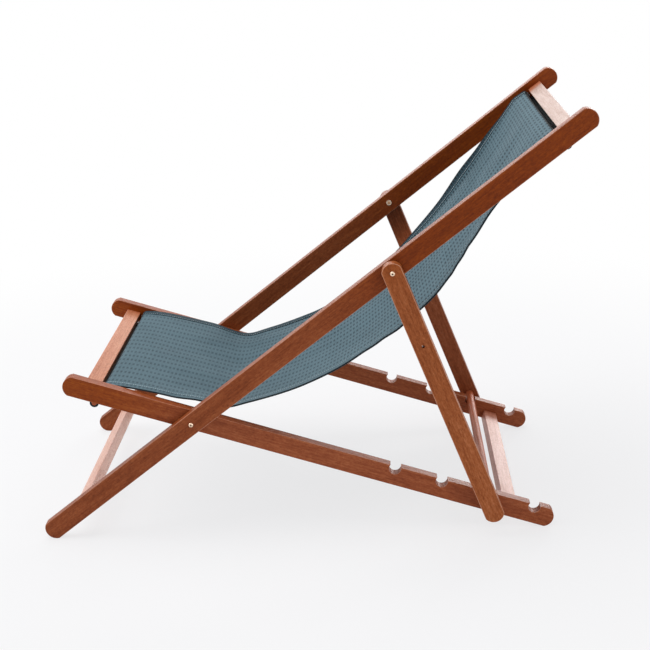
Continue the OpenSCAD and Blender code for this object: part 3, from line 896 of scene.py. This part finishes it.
left_spans = [inward(-1, d) for d in HEM_STEPS_ACROSS]
right_spans = [inward(1, d) for d in reversed(HEM_STEPS_ACROSS)]
sling_pieces = [
    cloth,
    cloth_strip("sling_hem_left", left_spans, HEM_ABOVE, HEM_WALL, near_hem_weave),
    cloth_strip("sling_hem_right", right_spans, HEM_ABOVE, HEM_WALL, far_hem_shaded_weave),
]


# Machine stitches along the inner side of each hem
STITCH_LENGTH = 3.2
STITCH_PITCH = 4.4
STITCH_INSIDE = 1.8
STITCH_ABOVE = 1.95
UNSTITCHED_END = 0.045
# Half a stitch's thickness: along the left hem, and by the share of the right hem, whose curl loosens them
STITCH_SUNK = 0.5
STITCH_STAND = [(0.5, 0.5), (0.66, 1.1)]


def row_at(along):
    for row, length in enumerate(lengths):
        if length >= along:
            return max(1, row)
    return len(lengths) - 1


def cloth_place(across_in, side, along, above):
    """A point over the cloth near its side, the way's heading there, and its normal."""
    row = row_at(along)
    a = cloth_point(side * (half_width(way[row - 1].x) - across_in), row - 1, above)
    b = cloth_point(side * (half_width(way[row].x) - across_in), row, above)
    t = (along - lengths[row - 1]) / (lengths[row] - lengths[row - 1])
    return a.lerp(b, t), (b - a).normalized(), cloth_frame(row)[1]


def stitches(name, side):
    bm = bmesh.new()
    along = UNSTITCHED_END
    while along < SLING_LENGTH - UNSTITCHED_END:
        place, heading, up = cloth_place((HEM_WIDTH - STITCH_INSIDE) * MM, side, along, STITCH_ABOVE * MM)
        beside = Vector((up.x, 0, up.y)).cross(heading).normalized()
        turn = Matrix((heading, beside, heading.cross(beside))).transposed().to_4x4()
        stand = STITCH_SUNK if side < 0 else between(STITCH_STAND, along / SLING_LENGTH)
        size = Matrix.Diagonal((STITCH_LENGTH / 2 * MM, stand * MM, stand * MM, 1))
        bmesh.ops.create_icosphere(
            bm, subdivisions=1, radius=1, matrix=Matrix.Translation(place) @ turn @ size)
        along += STITCH_PITCH * MM
    for face in bm.faces:
        face.smooth = True
    return make_object(name, bm, seam_thread)


sling_pieces.append(stitches("sling_stitches_left", -1))
sling_pieces.append(stitches("sling_stitches_right", 1))


# The rolled edge of each hem: a small ring carried along the cloth's side. Sizes are in millimetres.
EDGE_INSIDE = 1.1
EDGE_ABOVE = 0.55
EDGE_HALF_WIDTH = 1.35
EDGE_HALF_HEIGHT = 1.75
RING_STEPS = 8


def rolled_edge(name, side):
    bm = bmesh.new()
    cut = bm.loops.layers.uv.new("cut")
    rings = []
    for row in range(len(way)):
        normal = cloth_frame(row)[1]
        middle = cloth_point(side * (half_width(way[row].x) - EDGE_INSIDE * MM), row, EDGE_ABOVE * MM)
        ring = []
        for i in range(RING_STEPS):
            angle = 2 * math.pi * i / RING_STEPS
            out = EDGE_HALF_WIDTH * MM * math.cos(angle)
            up = EDGE_HALF_HEIGHT * MM * math.sin(angle)
            ring.append(bm.verts.new(middle + Vector((normal.x * up, out, normal.y * up))))
        rings.append(ring)
    ring_edges = []
    for ring in rings:
        ring_edges.append([bm.edges.new((ring[i], ring[(i + 1) % RING_STEPS])) for i in range(RING_STEPS)])
    for a, b in zip(ring_edges, ring_edges[1:]):
        bmesh.ops.bridge_loops(bm, edges=a + b)
    bm.faces.new(rings[0])
    bm.faces.new(rings[-1])
    bmesh.ops.recalc_face_normals(bm, faces=bm.faces)
    for face in bm.faces:
        face.smooth = True
        for loop in face.loops:
            loop[cut].uv = (loop.vert.co.y, loop.vert.co.x)
    return make_object(name, bm, edge_weave)


sling_pieces.append(rolled_edge("sling_edge_left", -1))
sling_pieces.append(rolled_edge("sling_edge_right", 1))

# The sling's pieces, with their places applied to their meshes
for piece in sling_pieces:
    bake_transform(piece)


# Studio: a pale floor that runs out to white, and soft light
FLOOR_SIZE = 14
FLOOR_PALE = 0.77
FLOOR_FADES = (0.7, 2.0)
FLOOR_NEAR = linear(248, 248, 249)
FLOOR_PAINT = linear(240, 240, 242)
WHITE = (1, 1, 1, 1)
WORLD_LIGHT = 0.44
# Each lamp's name, place, target, width and height, and power
LAMPS = [
    ("top_light", (-0.5, 0.4, 3.0), (0, 0, 0.3), (3.0, 2.4), 45),
    ("left_light", (-2.2, -0.6, 2.2), (0.1, 0, 0.4), (1.6, 1.4), 22),
    ("front_light", (1.8, -2.1, 0.9), (0.5, -0.3, 0.1), (1.2, 0.8), 10),
    ("back_light", (-0.4, 4.2, 1.5), (0, 0, 0.3), (3.4, 1.8), 45),
    ("right_light", (2.2, 4.2, 1.55), (0.4, 0, 0.1), (1.5, 1.7), 60),
]


def background_seen(tree):
    """1 for the camera's own rays and for those that metal and glass send on."""
    path = put(tree, "ShaderNodeLightPath")
    seen = calc(tree, "MAXIMUM", path.outputs["Is Camera Ray"], path.outputs["Is Glossy Ray"])
    return calc(tree, "MAXIMUM", seen, path.outputs["Is Transmission Ray"])


def make_floor():
    bm = bmesh.new()
    bmesh.ops.create_grid(bm, x_segments=1, y_segments=1, size=FLOOR_SIZE)
    mesh = bpy.data.meshes.new("floor")
    bm.to_mesh(mesh)
    bm.free()
    material, tree = new_tree("floor")
    far = put(tree, "ShaderNodeVectorMath", {0: object_place(tree)}, operation="LENGTH").outputs["Value"]
    away = calc(tree, "MULTIPLY", background_seen(tree), fade(tree, far, *FLOOR_FADES, FLOOR_PALE, 1.0))
    paint = put(tree, "ShaderNodeBsdfDiffuse", {"Color": FLOOR_PAINT}).outputs[0]
    pale = mix(tree, fade(tree, far, *FLOOR_FADES), FLOOR_NEAR, WHITE)
    white = put(tree, "ShaderNodeEmission", {"Color": pale, "Strength": 1.0}).outputs[0]
    both = put(tree, "ShaderNodeMixShader", {0: away, 1: paint, 2: white}).outputs[0]
    put(tree, "ShaderNodeOutputMaterial", {"Surface": both})
    mesh.materials.append(material)
    floor = bpy.data.objects.new("floor", mesh)
    bpy.context.scene.collection.objects.link(floor)


def make_world():
    world = bpy.data.worlds.new("studio")
    bpy.context.scene.world = world
    world.use_nodes = True
    tree = world.node_tree
    tree.nodes.clear()
    strength = fade(tree, background_seen(tree), 0, 1, WORLD_LIGHT, 1.0)
    light = put(tree, "ShaderNodeBackground", {"Color": WHITE, "Strength": strength})
    put(tree, "ShaderNodeOutputWorld", {"Surface": light.outputs[0]})


def soft_box(name, place, target, size, power):
    """A large soft lamp that looks at the target and isn't itself in the picture."""
    data = bpy.data.lights.new(name, "AREA")
    data.shape = "RECTANGLE"
    data.size, data.size_y = size
    data.energy = power
    lamp = bpy.data.objects.new(name, data)
    lamp.location = place
    lamp.rotation_euler = (Vector(target) - Vector(place)).to_track_quat("-Z", "Y").to_euler()
    lamp.visible_camera = False
    bpy.context.scene.collection.objects.link(lamp)


make_camera()
make_floor()
make_world()
for lamp in LAMPS:
    soft_box(*lamp)
bpy.context.scene.view_settings.view_transform = "Standard"

bpy.context.view_layer.update()
